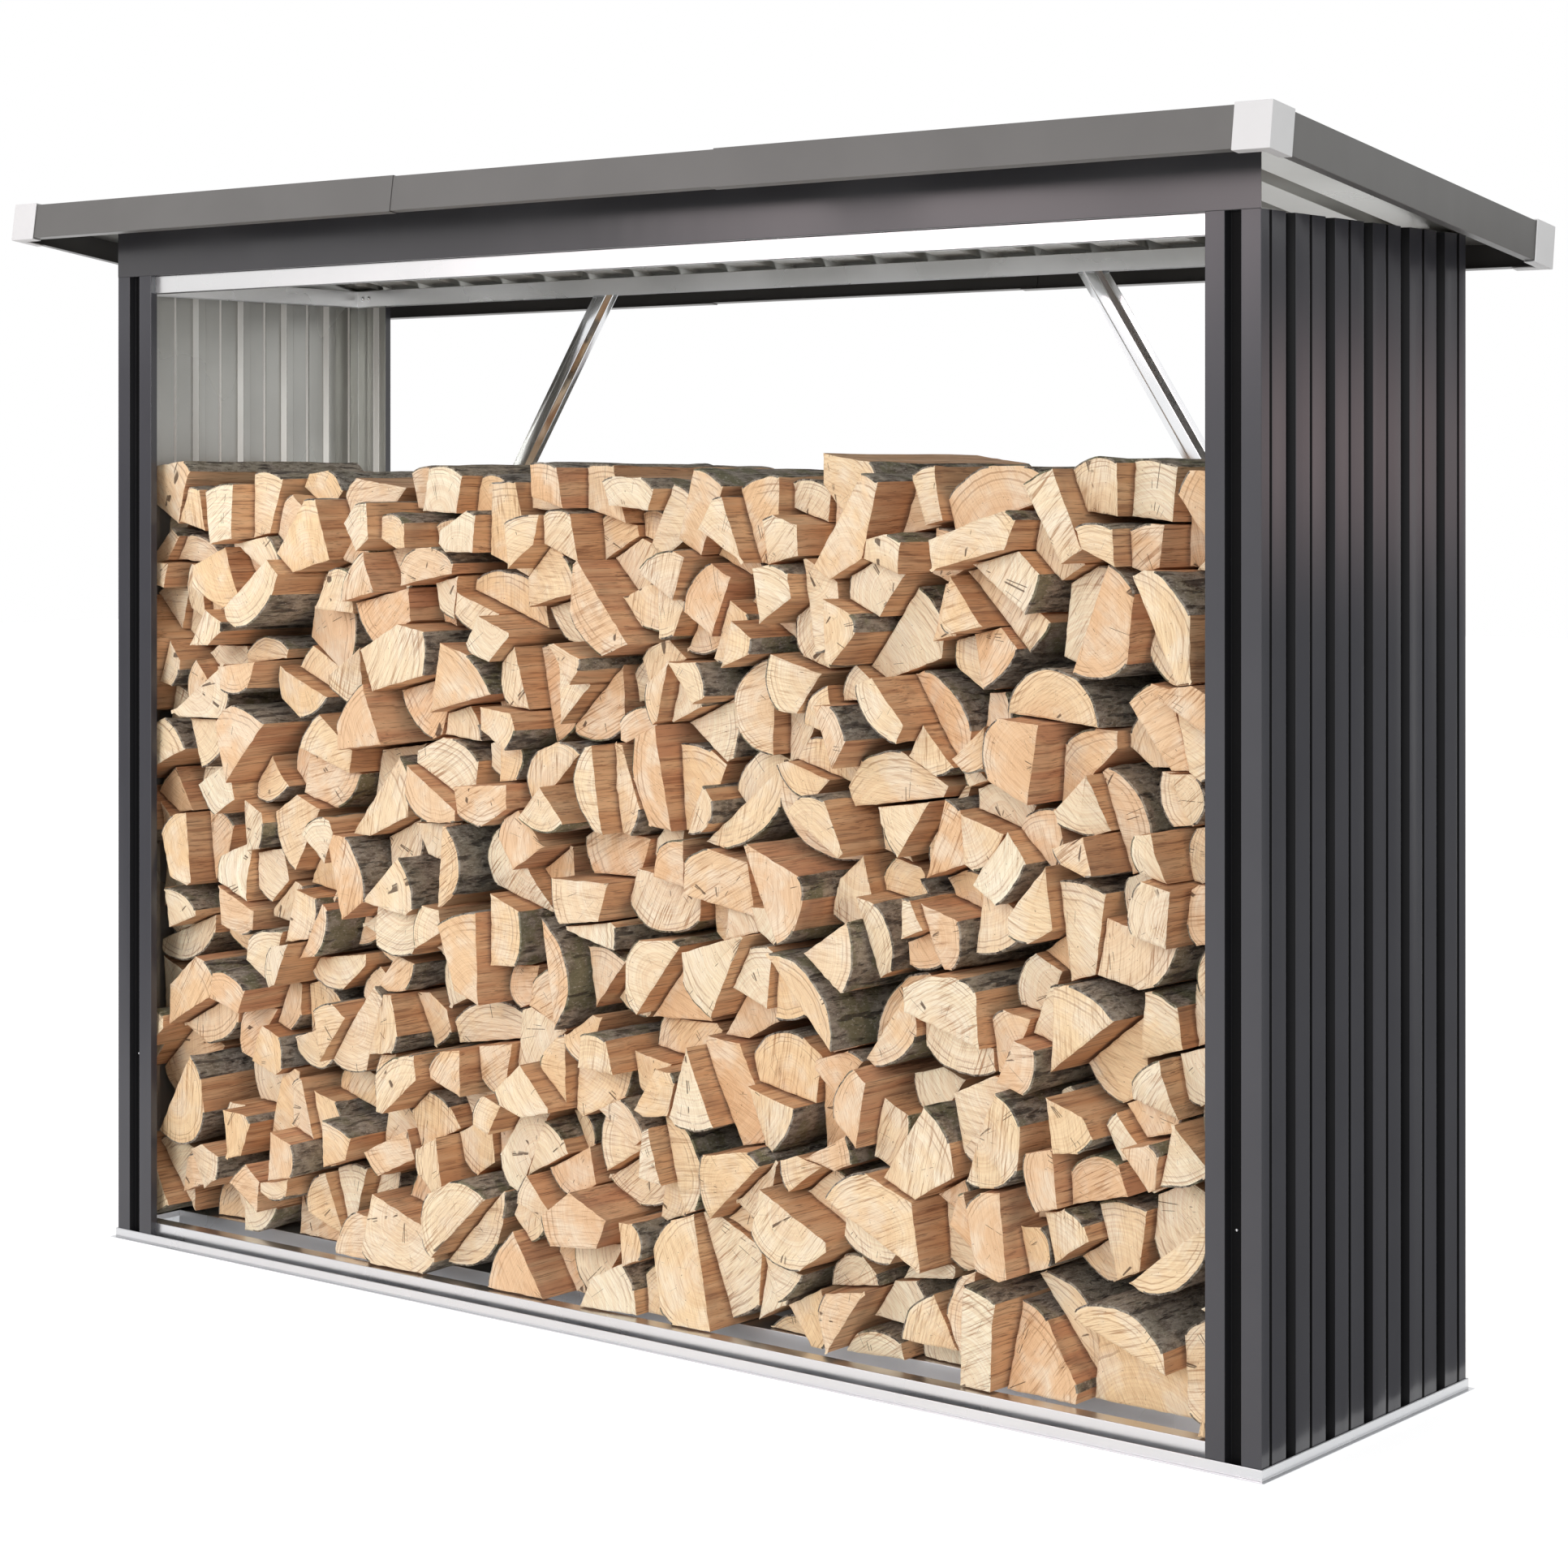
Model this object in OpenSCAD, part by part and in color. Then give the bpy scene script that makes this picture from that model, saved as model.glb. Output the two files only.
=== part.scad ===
// Sheet steel log store, open at the front and the back, filled with split firewood.
// Millimetres, +Z up. The origin is on the ground, under the middle of the roof.

/* [Body] */
// Outer width across the two side walls
body_w = 2016; // [1500:1:2600]
// Outer depth across the front and back faces of the walls
body_d = 508; // [430:1:760]
// Height of the wall tops above the ground
wall_h = 1471; // [1250:1:1900]
// Width of wall panel that is folded round onto the front and the back
return_w = 76; // [60:1:110]
// Lip folded inwards along the free edge of each return
return_lip = 12; // [6:1:18]

/* [Sheet metal] */
// Thickness of the painted wall, roof and trim sheet
skin_t = 0.8; // [0.5:0.1:1.2]
// Thickness of the galvanised rails, bars and braces
rail_t = 1; // [0.8:0.1:1.6]
// Clearance between pieces that slot together
fit = 0.3; // [0.2:0.1:0.5]

/* [Wall profile] */
// Spacing of the recessed grooves
groove_pitch = 93; // [80:1:110]
// Width of a groove at its mouth
groove_w = 22; // [18:1:28]
// Width of a groove's floor
groove_floor = 14; // [8:1:16]
// Depth of a groove
groove_d = 9; // [6:0.5:12]
// Width of the shallow bead between two grooves
bead_w = 6; // [4:1:10]
// Depth of a bead
bead_d = 1.2; // [0.6:0.1:2]

/* [Base frame] */
// Width of the foot flange outside the base lip
foot_w = 6; // [3:1:15]
// Height of the lip in front of the walls
base_lip_h = 14; // [10:1:22]
// Height of the floor bars and of the inner flange of the base rails
floor_h = 30; // [24:1:50]
// Width of the inner flange of the base rails
base_flange_w = 22; // [14:1:34]
// Lip turned down along the inner flange
base_flange_lip = 8; // [4:1:14]
// Number of floor bars
floor_bars = 3; // [2:1:4]
// Width of the top of a floor bar
bar_top_w = 66; // [40:1:70]
// Slope of each side of a floor bar, measured across
bar_slope = 4; // [1:1:6]
// Width of each foot flange of a floor bar
bar_foot_w = 10; // [6:1:12]

/* [Top frame] */
// Height of the top rails
top_rail_h = 26; // [20:1:40]
// Width of the top rails
top_rail_w = 24; // [20:1:36]
// Height of the header panel above the front opening
header_h = 71; // [50:1:120]
// Depth of the header's two flanges
header_flange = 30; // [20:1:40]
// Distance of the top of each brace from the middle
brace_top_x = 450; // [300:1:560]
// Height where the middle of each brace meets the wall return
brace_foot_z = 654; // [400:1:900]
// Overall width of a brace
brace_w = 42; // [32:1:56]
// Width of the raised rib along a brace, at its foot and at its crest
brace_rib_w = 24; // [18:1:28]
// Width of the crest of that rib
brace_crest_w = 14; // [8:1:16]
// Height of that rib
brace_rib_h = 9; // [6:1:12]

/* [Roof] */
// Overhang of the roof past the side walls
side_overhang = 87; // [60:1:140]
// Overhang of the roof past the front, along the slope
front_overhang = 127; // [90:1:200]
// Overhang of the roof past the back, along the slope
back_overhang = 67; // [50:1:140]
// Spacing of the roof ribs
rib_pitch = 93; // [80:1:110]
// Width of a roof rib at its foot
rib_w = 34; // [24:1:44]
// Width of a roof rib at its crest
rib_crest_w = 18; // [10:1:22]
// Height of a roof rib
rib_h = 15; // [10:1:24]
// Number of whole ribs on the middle roof panel
middle_ribs = 7; // [5:2:9]
// Height of the edge trim
trim_h = 51; // [44:1:80]
// Width of the trim's flange over the roof
trim_top_w = 25; // [20:1:32]
// Width of the trim's flange under the roof
trim_under_w = 14; // [8:1:18]
// Half the length of the middle trim piece that shows at the front and back
trim_joint_x = 286; // [200:1:400]
// Length of middle trim that is lapped by its neighbour at each joint
trim_lap = 20; // [10:1:40]
// Length of each leg of a corner cap
cap_len = 50; // [36:1:70]
// Wall of a corner cap
cap_t = 2; // [1.5:0.5:3]

/* [Firewood] */
// Number of courses in the stack
courses = 9; // [7:1:12]
// Places for a split round of wood in a course
rounds_per_course = 18; // [12:1:20]
// Height of the stack above the floor
stack_h = 1150; // [900:1:1160]
// Most that the top of the stack rises and falls
stack_uneven = 21; // [0:1:30]
// Length of a log
log_len = 370; // [300:1:400]
// Most that the length of a log differs from that
log_len_spread = 8; // [0:1:20]
// Most that a log stands back from the foremost one
log_setback = 104; // [20:1:110]
// Share of that by which each log of a round stands back from the last one
setback_step = 0.38; // [0.2:0.02:0.45]
// Distance of the foremost log ends behind the front face of the walls
log_front = -8; // [-20:1:10]
// Gap between neighbouring logs
log_gap = 0.6; // [0.4:0.1:0.8]
// Share of its width by which the middle of a round wanders sideways
round_wander = 0.3; // [0.1:0.02:0.34]
// Share of a course's height by which the middle of a round wanders up and down
course_wander = 0.24; // [0.1:0.02:0.26]
// Share of the halves that are split again into quarters
quarter_share = 0.46; // [0:0.02:1]
// Most that the second split of a round turns from square to the first
split_turn = 25; // [0:1:35]
// Radius of the bark, as a share of the longest reach from the pith
bark_share = 0.81; // [0.74:0.01:0.94]
// Most that this share differs from log to log
bark_spread = 0.06; // [0:0.01:0.06]
// Distance of a slab's pith beyond its main face, as a share of that face
slab_share = 0.35; // [0.1:0.05:0.6]
// Gap between the logs and the braces
brace_gap = 2; // [1:0.5:6]
// Seed of the random stack
stack_seed = 41; // [1:1:200]

/* [Hidden] */
$fn = 48;

SIDES = ["front", "right", "back", "left"];
// Depth of the corrugated wall sheet, and the room it takes in a slot
wall_depth = groove_d + skin_t;

// Slope of the roof, from the top of the header to the top of the back wall
roof_angle = atan(header_h / body_d);
// Roof frame: y along the slope from the header's front face, z square to the roof
trim_step = skin_t + fit;
trim_top_z = rib_h + skin_t + trim_step + skin_t;
trim_low_z = trim_top_z - trim_h;
roof_front = -front_overhang;
roof_back = body_d / cos(roof_angle) + back_overhang;
roof_w = body_w + 2 * side_overhang;
roof_len = roof_back - roof_front;
cap_out = cap_t + fit;

// The body's front face, placed so that the roof's reach is centred on the origin
front_reach = (roof_front - cap_out) * cos(roof_angle) + (trim_low_z - cap_out) * sin(roof_angle);
back_reach = (roof_back + cap_out) * cos(roof_angle) + (trim_top_z + cap_out) * sin(roof_angle);
front_y = -(front_reach + back_reach) / 2;
mid_y = front_y + body_d / 2;

// Base frame, measured inwards from the outer edge of the foot flange
wall_u = foot_w + 2 * rail_t + fit;
upstand_u = wall_u + wall_depth + fit + rail_t;
base_w = body_w + 2 * wall_u;
base_d = body_d + 2 * wall_u;
base_reach = upstand_u + base_flange_w + rail_t;
bar_len = base_w - 2 * (base_reach + fit);
floor_clear = base_d - 2 * base_reach;

// Top frame, measured inwards from the inner face of the walls
top_w = body_w - 2 * (wall_depth + fit);
top_d = body_d - 2 * (wall_depth + fit);

// Stack of logs, drawn in x and z
stack_half_w = body_w / 2 - wall_depth - fit;
stack_low = floor_h + fit;
round_w = 2 * stack_half_w / rounds_per_course;
course_h = stack_h / courses;
// Logs behind the wall returns start behind the folded lip
corner_x = body_w / 2 - return_w - 2 * fit;
corner_setback = return_lip + fit;
// Logs stop short of the braces
brace_face_y = front_y + body_d - wall_depth - 2 * fit - 2 * rail_t - brace_rib_h;
log_back_limit = brace_face_y - brace_gap;

FLOOR_NODES = [for (i = [1:floor_bars]) str("floor_bar_", i)];
COURSE_NODES = [for (c = [1:courses]) str("log_course_", c)];

PAINT = [0.24, 0.24, 0.25];
TRIM_PAINT = [0.42, 0.42, 0.42];
ZINC = [0.75, 0.76, 0.77];
CAP_GREY = [0.9, 0.9, 0.9];
WOOD = [0.85, 0.66, 0.45];

// Bent sheet: a path of folds, thickened to its left
function unit(v) = v / norm(v);
function left_of(v) = [-v[1], v[0]];
function reversed(list) = [for (i = [len(list) - 1:-1:0]) list[i]];
function shifted(path, t) = [
    for (i = [0:len(path) - 1])
        let (
            a = unit(i > 0 ? path[i] - path[i - 1] : path[1] - path[0]),
            b = i < len(path) - 1 ? unit(path[i + 1] - path[i]) : a
        )
        path[i] + (left_of(a) + left_of(b)) * t / (1 + a * b)
];
function bent_sheet(path, t) = concat(path, reversed(shifted(path, t)));

// One run of a mitred rectangular ring of outer size w by d; side 0 is the front, then anticlockwise.
// The child is the profile, drawn inwards from the outer line and upwards.
module mitred_run(w, d, side, reach, low, high) {
    length = side % 2 == 0 ? w : d;
    across = side % 2 == 0 ? d : w;
    rotate([0, 0, 90 * side])
        intersection() {
            translate([-length / 2, -across / 2, 0])
                rotate([90, 0, 90])
                    linear_extrude(length)
                        children();
            translate([0, -across / 2, low])
                linear_extrude(high - low)
                    polygon([[-length / 2, 0], [length / 2, 0],
                             [length / 2 - reach, reach], [-length / 2 + reach, reach]]);
        }
}

// Base rail: foot flange, hemmed lip, slot for the wall and raised inner flange
module base_profile() {
    polygon(bent_sheet([
        [0, 0],
        [upstand_u, 0],
        [upstand_u, floor_h - rail_t],
        [base_reach - rail_t, floor_h - rail_t],
        [base_reach - rail_t, floor_h - rail_t - base_flange_lip]
    ], rail_t));
    translate([foot_w, 0])
        square([2 * rail_t, base_lip_h]);
}

module base_rail(side) {
    color(ZINC)
        translate([0, mid_y, 0])
            mitred_run(base_w, base_d, side, base_reach + 1, -1, floor_h + 1)
                base_profile();
}

// Floor bar: hat section with its feet on the ground
module floor_bar(i) {
    gap = (floor_clear - floor_bars * bar_top_w) / (floor_bars + 1);
    y = mid_y - floor_clear / 2 + i * gap + (i - 0.5) * bar_top_w;
    half = bar_top_w / 2;
    color(ZINC)
        translate([-bar_len / 2, y, 0])
            rotate([90, 0, 90])
                linear_extrude(bar_len)
                    polygon(bent_sheet([
                        [half + bar_slope + bar_foot_w, rail_t],
                        [half + bar_slope, rail_t],
                        [half, floor_h],
                        [-half, floor_h],
                        [-half - bar_slope, rail_t],
                        [-half - bar_slope - bar_foot_w, rail_t]
                    ], rail_t));
}

// Folds of one groove and one bead, as distance along the sheet and depth into the store
function groove(s) = [
    [s - groove_w / 2, 0], [s - groove_floor / 2, groove_d],
    [s + groove_floor / 2, groove_d], [s + groove_w / 2, 0]
];
function bead(s) = [[s - bead_w / 2, 0], [s, bead_d], [s + bead_w / 2, 0]];

function side_folds() =
    let (
        count = floor(body_d / groove_pitch),
        first = (body_d - (count - 1) * groove_pitch) / 2
    )
    concat(bead(first - groove_pitch / 2),
        [for (i = [0:count - 1], p = concat(groove(first + i * groove_pitch),
                                            bead(first + (i + 0.5) * groove_pitch))) p]);

// Plan of the right wall: front return, side and back return, from one free edge to the other
function wall_plan() =
    let (x = body_w / 2, y = body_d / 2)
    concat(
        [[x - return_w, -y + return_lip], [x - return_w, -y]],
        [for (p = groove(return_w / 2)) [x - return_w + p[0], -y + p[1]]],
        [[x, -y]],
        [for (p = side_folds()) [x - p[1], -y + p[0]]],
        [[x, y]],
        [for (p = groove(return_w / 2)) [x - p[0], y - p[1]]],
        [[x - return_w, y], [x - return_w, y - return_lip]]);

module wall_right() {
    color(PAINT)
        translate([0, mid_y, rail_t])
            linear_extrude(wall_h - rail_t)
                polygon(bent_sheet(wall_plan(), skin_t));
}

module wall_left() {
    mirror([1, 0, 0])
        wall_right();
}

// Top rail: channel with its open side down
module top_rail(side) {
    color(ZINC)
        translate([0, mid_y, wall_h - top_rail_h])
            mitred_run(top_w, top_d, side, top_rail_w + 1, -1, top_rail_h + 1)
                polygon(bent_sheet([
                    [top_rail_w, 0], [top_rail_w, top_rail_h], [0, top_rail_h], [0, 0]
                ], rail_t));
}

// Header over the front opening; its upper flange lies in the slope of the roof
module header_panel() {
    color(PAINT)
        translate([-body_w / 2, front_y, wall_h])
            rotate([90, 0, 90])
                linear_extrude(body_w)
                    polygon(bent_sheet([
                        [header_flange, header_h - header_flange * tan(roof_angle)],
                        [0, header_h], [0, 0], [header_flange, 0]
                    ], skin_t));
}

// Knee brace at the back: ribbed strip from the top rail down to the wall return
module brace_right() {
    foot_x = body_w / 2 - return_w / 2;
    rise = wall_h - top_rail_h - brace_foot_z;
    run = foot_x - brace_top_x;
    lean = atan2(run, rise);
    spare = brace_w * 2;
    color(ZINC)
        translate([0, front_y + body_d - wall_depth - 2 * fit - rail_t, 0])
            intersection() {
                translate([brace_top_x, 0, wall_h - top_rail_h])
                    rotate([0, 180 - lean, 0])
                        translate([0, 0, -spare])
                            linear_extrude(norm([run, rise]) + 2 * spare)
                                polygon(bent_sheet([
                                    [brace_w / 2, 0], [brace_rib_w / 2, 0],
                                    [brace_crest_w / 2, -brace_rib_h], [-brace_crest_w / 2, -brace_rib_h],
                                    [-brace_rib_w / 2, 0], [-brace_w / 2, 0]
                                ], rail_t));
                translate([0, -body_d / 2, 0])
                    cube([stack_half_w - fit, body_d, wall_h - rail_t - fit]);
            }
}

module brace_left() {
    mirror([1, 0, 0])
        brace_right();
}

// The roof's own frame: on the header's front top edge, laid in the slope
module in_roof() {
    translate([0, front_y, wall_h + header_h])
        rotate([-roof_angle, 0, 0])
            children();
}

// Ribbed roof panel from x0 to x1, with rib middles from the list; ribs run down the slope
module roof_panel(x0, x1, ribs) {
    folds = concat(
        [[x1, 0]],
        [for (x = reversed(ribs), p = [[rib_w / 2, 0], [rib_crest_w / 2, rib_h],
                                       [-rib_crest_w / 2, rib_h], [-rib_w / 2, 0]]) [x + p[0], p[1]]],
        [[x0, 0]]);
    sheet_front = roof_front + 2 * trim_step;
    sheet_len = roof_len - 4 * trim_step;
    color(TRIM_PAINT)
        in_roof()
            translate([0, sheet_front + sheet_len, 0])
                rotate([90, 0, 0])
                    linear_extrude(sheet_len)
                        polygon(bent_sheet(folds, -skin_t));
}

function middle_half() = middle_ribs * rib_pitch / 2;
function outer_rib_count() = floor((roof_w / 2 - middle_half() - rib_w) / rib_pitch);

module roof_panel_middle() {
    seam = middle_half() - fit / 2;
    roof_panel(-seam, seam, [for (i = [0:middle_ribs - 1]) (i - (middle_ribs - 1) / 2) * rib_pitch]);
}

module roof_panel_right() {
    seam = middle_half() + fit / 2;
    roof_panel(seam, roof_w / 2 - 2 * trim_step,
        [for (i = [0:outer_rib_count() - 1]) middle_half() + (i + 0.5) * rib_pitch]);
}

module roof_panel_left() {
    mirror([1, 0, 0])
        roof_panel_right();
}

// Edge trim: folded strip over and under the roof edge. The inset draws the lapped middle piece.
module trim_profile(inset) {
    polygon(bent_sheet([
        [trim_top_w, trim_top_z - inset], [inset, trim_top_z - inset],
        [inset, trim_low_z + inset], [trim_under_w, trim_low_z + inset]
    ], skin_t));
}

module trim_run(side, inset) {
    color(TRIM_PAINT)
        in_roof()
            translate([0, (roof_front + roof_back) / 2, 0])
                mitred_run(roof_w, roof_len, side, trim_top_w + 1, trim_low_z - 1, trim_top_z + 1)
                    trim_profile(inset);
}

// Piece of a front or back run of trim, from x0 to x1
module trim_piece(side, inset, x0, x1) {
    intersection() {
        trim_run(side, inset);
        translate([x0, front_y - body_d, 0])
            cube([x1 - x0, 3 * body_d, 2 * wall_h]);
    }
}

module trim_middle(side) {
    reach = trim_joint_x + trim_lap;
    trim_piece(side, trim_step, -reach, reach);
}

module trim_outer(side, right) {
    x0 = right ? trim_joint_x : -roof_w / 2 - 1;
    trim_piece(side, 0, x0, x0 + roof_w / 2 - trim_joint_x + 1);
}

// Corner cap: thin box over the corner of the trim, open towards the two runs of trim
module cap(right, back) {
    height = trim_h + 2 * cap_out;
    color(CAP_GREY)
        in_roof()
            translate([0, back ? roof_back : roof_front, trim_low_z - cap_out])
                mirror([right ? 0 : 1, 0, 0])
                    mirror([0, back ? 0 : 1, 0])
                        translate([roof_w / 2 + cap_out - cap_len, cap_out - cap_len, 0])
                            difference() {
                                cube([cap_len, cap_len, height]);
                                translate([-1, -1, cap_t])
                                    cube([cap_len - cap_t + 1, cap_len - cap_t + 1, height - 2 * cap_t]);
                                translate([-1, -1, -1])
                                    cube([cap_len - cap_out - trim_under_w + 1,
                                          cap_len - cap_out - trim_under_w + 1, cap_t + 2]);
                            }
}

// Stack of split logs. Each round of wood has a cell between its neighbours, and is split in its cell.
// Random numbers of a round: sideways, up, size, turn of the first split, top, tilt of the top
ROUNDS = [
    for (c = [0:courses - 1])
        [for (i = [0:rounds_per_course - 1]) rands(-1, 1, 6, stack_seed + c * rounds_per_course + i)]
];
// Random numbers of log k of a round: second split, its turn, pith, bark radius, length, setback
function luck(c, i, k) = rands(-1, 1, 6, 1000 * stack_seed + 4 * (c * rounds_per_course + i) + k);

function round_middle(c, i) = [
    -stack_half_w + (i + 0.5 + (c % 2 - 0.5) * 0.5 + round_wander * ROUNDS[c][i][0]) * round_w,
    stack_low + (c + 0.5 + course_wander * ROUNDS[c][i][1]) * course_h
];
function round_size(c, i) = ROUNDS[c][i][2] * course_h * course_h / 9;

// The part of a polygon where p * n is at most reach
function cut(poly, n, reach) = [
    for (k = [0:len(poly) - 1])
        let (
            a = poly[k],
            b = poly[(k + 1) % len(poly)],
            da = a * n - reach,
            db = b * n - reach
        )
        each concat(da <= 0 ? [a] : [], da * db < 0 ? [a + (b - a) * da / (da - db)] : [])
];
function cut_all(poly, planes, k = 0) =
    k == len(planes) ? poly : cut_all(cut(poly, planes[k][0], planes[k][1]), planes, k + 1);

// Planes midway to each near neighbour, moved towards the smaller of the two
function cell_planes(c, i) =
    let (p = round_middle(c, i))
    [
        for (d = [max(0, c - 2):min(courses - 1, c + 2)])
            for (j = [max(0, i - 2):min(rounds_per_course - 1, i + 2)])
                if (d != c || j != i)
                    let (
                        way = round_middle(d, j) - p,
                        dist = norm(way),
                        n = way / dist,
                        share = (dist + (round_size(c, i) - round_size(d, j)) / dist) / 2
                    )
                    [n, p * n + share - log_gap / 2]
    ];

// Box round a cell, inside the walls and above the floor, with an uneven, tilted top on the upper course
function cell_box(c, i) =
    let (
        p = round_middle(c, i),
        top = c == courses - 1 ? stack_low + stack_h + stack_uneven * ROUNDS[c][i][4] : p[1] + 2 * course_h,
        tilt = stack_uneven * ROUNDS[c][i][5],
        x0 = max(-stack_half_w, p[0] - 1.2 * round_w),
        x1 = min(stack_half_w, p[0] + 1.2 * round_w),
        z0 = max(stack_low, p[1] - 2 * course_h)
    )
    [[x0, z0], [x1, z0], [x1, top + tilt], [x0, top - tilt]];

function cell(c, i) = cut_all(cell_box(c, i), cell_planes(c, i));

// A polygon split in two through the middle of its corners; the split turns with the angle
function middle(poly) = [for (k = [0:len(poly) - 1]) 1] * poly / len(poly);
function halves(poly, angle) =
    let (n = [cos(angle), sin(angle)], reach = middle(poly) * n)
    [cut(poly, n, reach - log_gap / 2), cut(poly, -n, -reach - log_gap / 2)];

// The logs of one round: two halves, some of them split again across the first split
function logs(c, i) =
    let (angle = 180 * ROUNDS[c][i][3], pair = halves(cell(c, i), angle))
    [
        for (k = [0, 1])
            let (chance = luck(c, i, k), again = (chance[0] + 1) / 2 < quarter_share)
            each again ? halves(pair[k], angle + 90 + split_turn * chance[1]) : [pair[k]]
    ];

function side(poly, k) = poly[(k + 1) % len(poly)] - poly[k];
// The main face is the longest, and on the upper course a low one, so that the bark is on top
function face_rank(poly, k, upper) =
    norm(side(poly, k)) - (upper ? 2 * poly[k][1] + side(poly, k)[1] : 0);
function main_face(poly, upper) =
    let (ranks = [for (k = [0:len(poly) - 1]) face_rank(poly, k, upper)])
    search(max(ranks), ranks)[0];
function corner_cos(poly, k) = -unit(side(poly, k)) * unit(side(poly, (k + len(poly) - 1) % len(poly)));
function sharpest_corner(poly) =
    let (turns = [for (k = [0:len(poly) - 1]) corner_cos(poly, k)])
    search(max(turns), turns)[0];

// The pith: at the sharpest corner of a wedge, in the main face of a half log, or beyond it for a slab
function pith(poly, choice, upper) =
    let (k = main_face(poly, upper), face = side(poly, k), face_middle = poly[k] + face / 2)
    choice < -0.1 && !upper ? poly[sharpest_corner(poly)] :
    choice < 0.4 ? face_middle :
    face_middle - slab_share * left_of(face);
function bark_radius(poly, at, spread) =
    max([for (p = poly) norm(p - at)]) * (bark_share + bark_spread * spread);

// Setback of log k of a round: a random one for the first, and well apart for the others
function fraction(x) = x - floor(x);
function setback(c, i, k) =
    log_front + log_setback * fraction((luck(c, i, 0)[5] + 1) / 2 + k * setback_step);

// One split log: its outline, cut back to the round of bark about its pith
module split_log(outline, chance, setback, upper) {
    at = pith(outline, chance[2], upper);
    widest = max([for (p = outline) abs(p[0])]);
    front = front_y + (widest > corner_x ? max(corner_setback, setback) : setback);
    back = min(front + log_len + log_len_spread * chance[4], log_back_limit);
    translate([0, back, 0])
        rotate([90, 0, 0])
            linear_extrude(back - front)
                intersection() {
                    polygon(outline);
                    translate(at)
                        circle(bark_radius(outline, at, chance[3]));
                }
}

module log_course(c) {
    color(WOOD)
        for (i = [0:rounds_per_course - 1]) {
            outlines = logs(c - 1, i);
            for (k = [0:len(outlines) - 1])
                split_log(outlines[k], luck(c - 1, i, k), setback(c - 1, i, k), c == courses);
        }
}

for (s = [0:3]) {
    base_rail(s);
    top_rail(s);
}
for (i = [1:floor_bars])
    floor_bar(i);
wall_left();
wall_right();
header_panel();
brace_left();
brace_right();
roof_panel_left();
roof_panel_middle();
roof_panel_right();
trim_outer(0, false);  // trim_front_left
trim_middle(0);  // trim_front_middle
trim_outer(0, true);  // trim_front_right
trim_run(1, 0);  // trim_right
trim_outer(2, false);  // trim_back_left
trim_middle(2);  // trim_back_middle
trim_outer(2, true);  // trim_back_right
trim_run(3, 0);  // trim_left
cap(false, false);  // cap_front_left
cap(true, false);  // cap_front_right
cap(false, true);  // cap_back_left
cap(true, true);  // cap_back_right
for (c = [1:courses])
    log_course(c);
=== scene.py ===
import math
import random

import bmesh
import bpy
from mathutils import Matrix, Vector, noise


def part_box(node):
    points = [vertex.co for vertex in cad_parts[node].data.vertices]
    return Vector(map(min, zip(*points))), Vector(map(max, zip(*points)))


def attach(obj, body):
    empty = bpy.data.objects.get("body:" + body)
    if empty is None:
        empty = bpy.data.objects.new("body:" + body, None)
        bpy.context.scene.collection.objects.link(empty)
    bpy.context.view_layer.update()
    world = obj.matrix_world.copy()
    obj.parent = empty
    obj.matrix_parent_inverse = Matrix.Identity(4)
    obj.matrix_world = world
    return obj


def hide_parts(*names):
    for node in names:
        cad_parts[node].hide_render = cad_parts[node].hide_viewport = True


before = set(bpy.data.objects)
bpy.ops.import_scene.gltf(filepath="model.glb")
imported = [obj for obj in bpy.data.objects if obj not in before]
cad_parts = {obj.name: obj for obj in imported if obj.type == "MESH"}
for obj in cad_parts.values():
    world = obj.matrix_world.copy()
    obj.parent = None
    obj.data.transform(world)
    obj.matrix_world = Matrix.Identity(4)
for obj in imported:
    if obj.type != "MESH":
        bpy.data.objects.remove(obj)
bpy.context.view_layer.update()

# Camera, in the photograph's square frame
PHOTO_PX = 1932
FOCAL_PX = 4092.0
HORIZON_PX = 603.3
SENSOR_MM = 36.0
VIEW_TURN = math.radians(38.72)
BASE_CORNER = Vector((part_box("wall_right")[1].x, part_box("wall_right")[0].y, 0.0))
CAMERA_FROM_CORNER = Vector((1.969, -3.337, 1.146))

# Directions
LEFT = Vector((-1, 0, 0))
RIGHT = Vector((1, 0, 0))
FRONT = Vector((0, -1, 0))
BACK = Vector((0, 1, 0))
UP = Vector((0, 0, 1))

# Sheet metal, with lengths in metres; the first five are the places of a sheet's finishes: the flat outside,
# the back, painted shade in the creases and on the groove sides, and a painted highlight inside
FLAT, BACKING, CREASE_SHADE, GROOVE_SHADE, PAINTED_HIGHLIGHT = 0, 1, 2, 3, 4
MERGE_WITHIN = 1e-6
SAME_PLANE = math.radians(0.5)
NARROW = 0.0016
FOLD_RADIUS = 0.001
FOLD_LEAST = math.radians(6)
CAP_EDGE = 0.0008
SHEET_SHARP = math.radians(50)
FLAT_ON = 0.985
STEEP = 0.92
GROOVE_LEAST = 0.005
PAINT_WAVE = 0.005
ZINC_WAVE = 0.002

# Split logs, with lengths in metres; the first three are the places of a log's finishes
END, SPLIT, BARK = 0, 1, 2
LOG_SEED = 5
SEED_SPREAD = 40
OUTLINE_STEP = 0.009
LENGTH_STEPS = 11
LEVEL = 1e-5
LENGTHWISE = 0.1
LOG_SHRINK = 0.0008
HALF_LOG = 0.045
LARGEST_ROUND = 0.25
ON_A_LINE = 1e-7
NO_BARK = 0.5
END_FACING = 0.9
END_RIM = 0.0024
END_WORN = 0.0011
END_TILT = 0.13
END_FOLD = 0.3
FOLD_SHARE_LEAST = 0.3
FOLDED_SHARE = 0.45
STRAIGHT = 0.9999
SHARP = math.radians(38)
END_SHARP = math.radians(5)

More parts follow.
